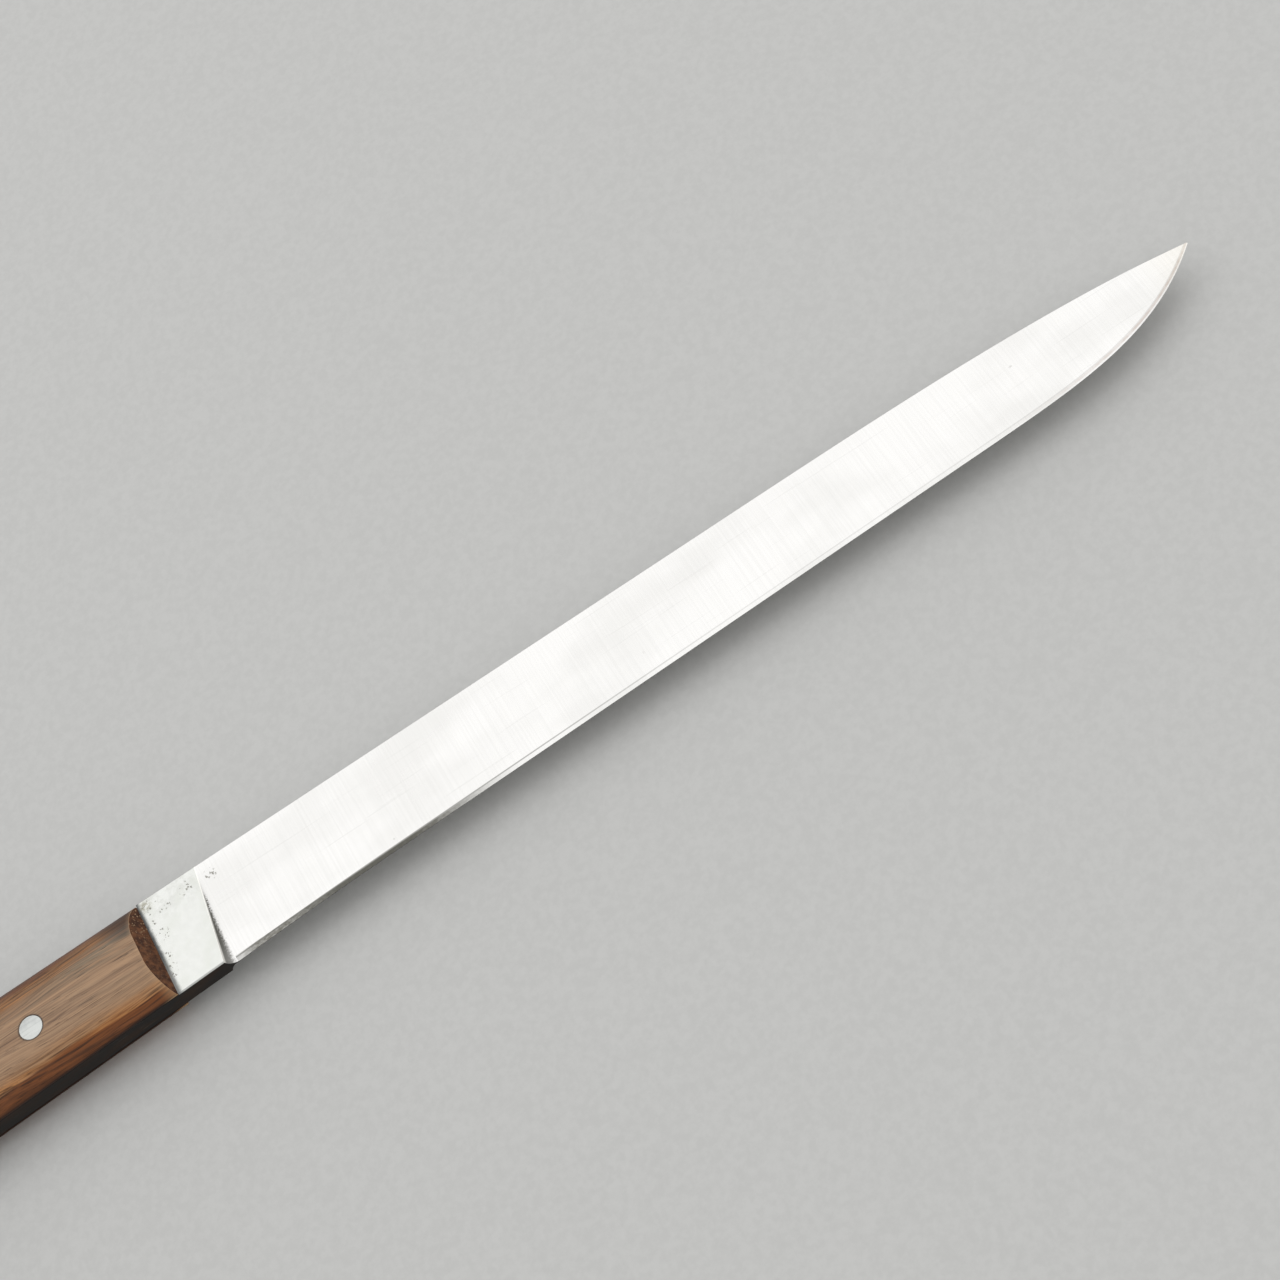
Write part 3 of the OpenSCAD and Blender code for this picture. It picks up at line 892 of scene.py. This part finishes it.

    # what faces along the knife is dark: partly end grain, which drinks more oil, and partly
    # painted shade on the front bevel; specked near the spine
    facing = addNode(tree, "TexCoord").outputs["Normal"]
    facing = addNode(tree, "SeparateXYZ", inputs={"Vector": facing})
    endOn = addNode(tree, "Math", absolute, {0: facing.outputs[0]})
    endOn = addNode(tree, "MapRange", smooth, {"Value": endOn, "From Min": 0.7, "From Max": 0.86})
    endClouds = patches(tree, places, s["endSize"], 0.35, 0.7)
    endColour = stain(tree, s["endGrain"], endClouds, 1, s["endBrown"])
    specks = dots(tree, places, s["speckSize"], bareShare=0.2)
    speckShare = addNode(tree, "MapRange", smooth, {
        "Value": across, "From Min": -12, "From Max": -4, "To Min": 0.15})
    specks = addNode(tree, "Math", times, {0: specks, 1: speckShare})
    endColour = stain(tree, endColour, specks, 0.85, s["endSpeck"])
    colour = stain(tree, colour, endOn, 1, endColour)

    # the soft corner between the flat and the front is lighter: a painted highlight
    turned = addNode(tree, "Math", minus, {0: facing.outputs[0], 1: 0.42})
    turned = addNode(tree, "Math", absolute, {0: turned})
    edgeHighlight = addNode(tree, "MapRange", smooth, {
        "Value": turned, "From Min": 0.36, "From Max": 0.22})
    colour = stain(tree, colour, edgeHighlight, 0.75, s["edgeHighlight"])

    # a thin dark ring round each pin, painted shadow of the gap
    for node in pinNodes:
        centre, size = pinPlace(node)
        gap = addNode(tree, "VectorMath", distance, {0: flatPlaces, 1: (centre.x, centre.y, 0)})
        ring = addNode(tree, "MapRange", smooth, {
            "Value": gap.outputs["Value"], "From Min": size.x / 2 + s["pinRingReach"],
            "From Max": size.x / 2 + 0.1})
        colour = stain(tree, colour, ring, 0.7, s["pinRingShade"])

    relief = addNode(tree, "Math", timesPlus, {0: fibres, 1: 0.4, 2: pores})
    relief = addNode(tree, "Math", plus, {0: relief, 1: cracks})
    roughness = addNode(tree, "MapRange", inputs={
        "Value": relief, "To Min": s["roughness"], "To Max": s["roughness"] + 0.2})
    roughness = addNode(tree, "Math", {"operation": "MULTIPLY_ADD", "use_clamp": True}, {
        0: endOn, 1: 0.3, 2: roughness})
    bump = addNode(tree, "Bump", {"invert": True}, {
        "Height": relief, "Strength": 0.4, "Distance": 0.06 * mm})
    # the oil film lies on the flat and is worn off the sides and the end grain
    bare = addNode(tree, "Math", larger, {0: endOn, 1: rounded})
    film = addNode(tree, "MapRange", inputs={"Value": bare, "To Min": s["film"], "To Max": 0})
    tree.links.new(film.outputs[0], shader.inputs["Coat Weight"])
    shader.inputs["Coat Roughness"].default_value = s["filmRoughness"]
    shader.inputs["Specular IOR Level"].default_value = s["gloss"]
    tree.links.new(colour, shader.inputs["Base Color"])
    tree.links.new(roughness.outputs[0], shader.inputs["Roughness"])
    tree.links.new(bump.outputs[0], shader.inputs["Normal"])
    return material


# what a user would change on the metal of the pins, in mm
alloyLooks = {
    "bare": "#C9CBC8", "dull": "#BFC1BF", "cloudSize": (2.2, 2.2),
    "mark": "#A9ABAA", "markSize": (6, 0.24), "roughness": 0.36,
}


def filedAluminium():
    # aluminium rod filed flush with the wood: plain pale grey, crossed by faint file marks
    s = alloyLooks
    material, tree, shader, places = newMaterial("filedAluminium")
    clouds = patches(tree, places, s["cloudSize"], 0.4, 0.7)
    marks = patches(tree, places, s["markSize"], 0.45, 0.7, detail=2)
    colour = stain(tree, s["bare"], clouds, 1, s["dull"])
    colour = stain(tree, colour, marks, 0.25, s["mark"])
    roughness = addNode(tree, "MapRange", inputs={
        "Value": marks, "To Min": s["roughness"], "To Max": s["roughness"] + 0.1})
    bump = addNode(tree, "Bump", {"invert": True}, {
        "Height": marks, "Strength": 0.12, "Distance": 0.02 * mm})
    shader.inputs["Metallic"].default_value = 1
    tree.links.new(colour, shader.inputs["Base Color"])
    tree.links.new(roughness.outputs[0], shader.inputs["Roughness"])
    tree.links.new(bump.outputs[0], shader.inputs["Normal"])
    return material


# what a user would change on the floor: its width in metres, its grain in mm
floorLooks = {
    "width": 20, "paper": "#C7C7C5", "shade": "#C2C2C0", "grainSize": (1.5, 1.5), "roughness": 0.9,
}


def makeFloor():
    s = floorLooks
    bpy.ops.object.select_all(action="DESELECT")
    bpy.ops.mesh.primitive_plane_add(size=s["width"], location=(0, 0, 0))
    floor = bpy.context.object
    floor.name = "floor"
    # matt paper: an even pale grey with the slightest tooth
    material, tree, shader, places = newMaterial("palePaper")
    tooth = patches(tree, places, s["grainSize"], 0.3, 0.7)
    shader.inputs["Roughness"].default_value = s["roughness"]
    tree.links.new(stain(tree, s["paper"], tooth, 1, s["shade"]), shader.inputs["Base Color"])
    floor.data.materials.append(material)


# the photograph's view, in mm and degrees: how far the camera leans from straight above, how far
# it is rolled, and where it looks
cameraView = {
    "tilt": 34.05, "roll": 33.565, "distance": 540.5, "lens": 78.75, "sensor": 36,
    "aimAhead": 98.69, "aimBelowSpine": 12.25,
}


def makeCamera():
    v = cameraView
    tilt, roll = math.radians(v["tilt"]), math.radians(v["roll"])
    aim = plunge + Vector((v["aimAhead"], -v["aimBelowSpine"], 0))
    back = Vector((0, -math.sin(tilt), math.cos(tilt)))
    upright = Vector((0, math.cos(tilt), math.sin(tilt)))
    right = math.cos(roll) * axes["x"] - math.sin(roll) * upright
    up = math.sin(roll) * axes["x"] + math.cos(roll) * upright
    bpy.ops.object.camera_add()
    camera = bpy.context.object
    camera.data.lens = v["lens"]
    camera.data.sensor_width = v["sensor"]
    camera.data.clip_start = 10 * mm
    camera.data.clip_end = 50
    turn = Matrix((right, up, back)).transposed().to_4x4()
    camera.matrix_world = Matrix.Translation((aim + back * v["distance"]) * mm) @ turn
    bpy.context.scene.camera = camera


# one broad soft lamp over the spine side, in metres, watts and degrees, and a pale sky that is a
# little darker on the edge side
lightLooks = {
    "lampElevation": 68, "lampDistance": 1.3, "lampWidth": 2.2, "lampDepth": 1.3, "lampPower": 3.4,
    "skyTop": (0, 0.62, 0.78), "skyFade": (-0.5, 0.6), "skyLow": 0.55, "skyHigh": 0.9,
}


def makeLight():
    v = lightLooks
    lift = math.radians(v["lampElevation"])
    towards = Vector((0, math.cos(lift), math.sin(lift)))
    bpy.ops.object.light_add(type="AREA", location=towards * v["lampDistance"])
    lamp = bpy.context.object
    lamp.data.shape = "RECTANGLE"
    lamp.data.size, lamp.data.size_y = v["lampWidth"], v["lampDepth"]
    lamp.data.energy = v["lampPower"]
    lamp.rotation_euler = towards.to_track_quat("Z", "Y").to_euler()
    lamp.visible_camera = False
    world = bpy.data.worlds.new("softStudio")
    bpy.context.scene.world = world
    world.use_nodes = True
    tree = world.node_tree
    tree.nodes.clear()
    direction = addNode(tree, "TexCoord").outputs["Generated"]
    facing = addNode(tree, "VectorMath", {"operation": "DOT_PRODUCT"}, {
        0: direction, 1: v["skyTop"]})
    level = addNode(tree, "MapRange", smooth, {
        "Value": facing.outputs["Value"], "From Min": v["skyFade"][0], "From Max": v["skyFade"][1],
        "To Min": v["skyLow"], "To Max": v["skyHigh"]})
    sky = addNode(tree, "Background", inputs={"Color": "#FFFFFF", "Strength": level})
    addNode(tree, "OutputWorld", inputs={"Surface": sky})


blade = shapeBlade()
print("blade shaped:", len(blade.data.polygons), "faces")
right = shapeScale()
left = otherSide(right)
print("scales shaped:", len(right.data.polygons), "faces each")
frontPin = shapePin("frontPin", "front_pin")
pins = [frontPin, copyPin(frontPin, "middlePin", "middle_pin"),
        copyPin(frontPin, "rearPin", "rear_pin")]
print("pins shaped:", len(pins[0].data.polygons), "faces each")

for piece in [blade, right, left] + pins:
    moveHome(piece)
steel, tarnish, wood, alloy = groundSteel(), tarnishedAndShadedSteel(), rosewood(), filedAluminium()
finishPiece(blade, "blade", [steel, tarnish])
tarnishAndShadeNarrowFaces(blade)
finishPiece(right, "right_scale", [wood])
finishPiece(left, "left_scale", [wood])
for pin, node in zip(pins, pinNodes):
    finishPiece(pin, node, [alloy])
print("materials given")

makeFloor()
makeCamera()
makeLight()
bpy.context.scene.view_settings.view_transform = "Standard"
print("stage, camera and light set")
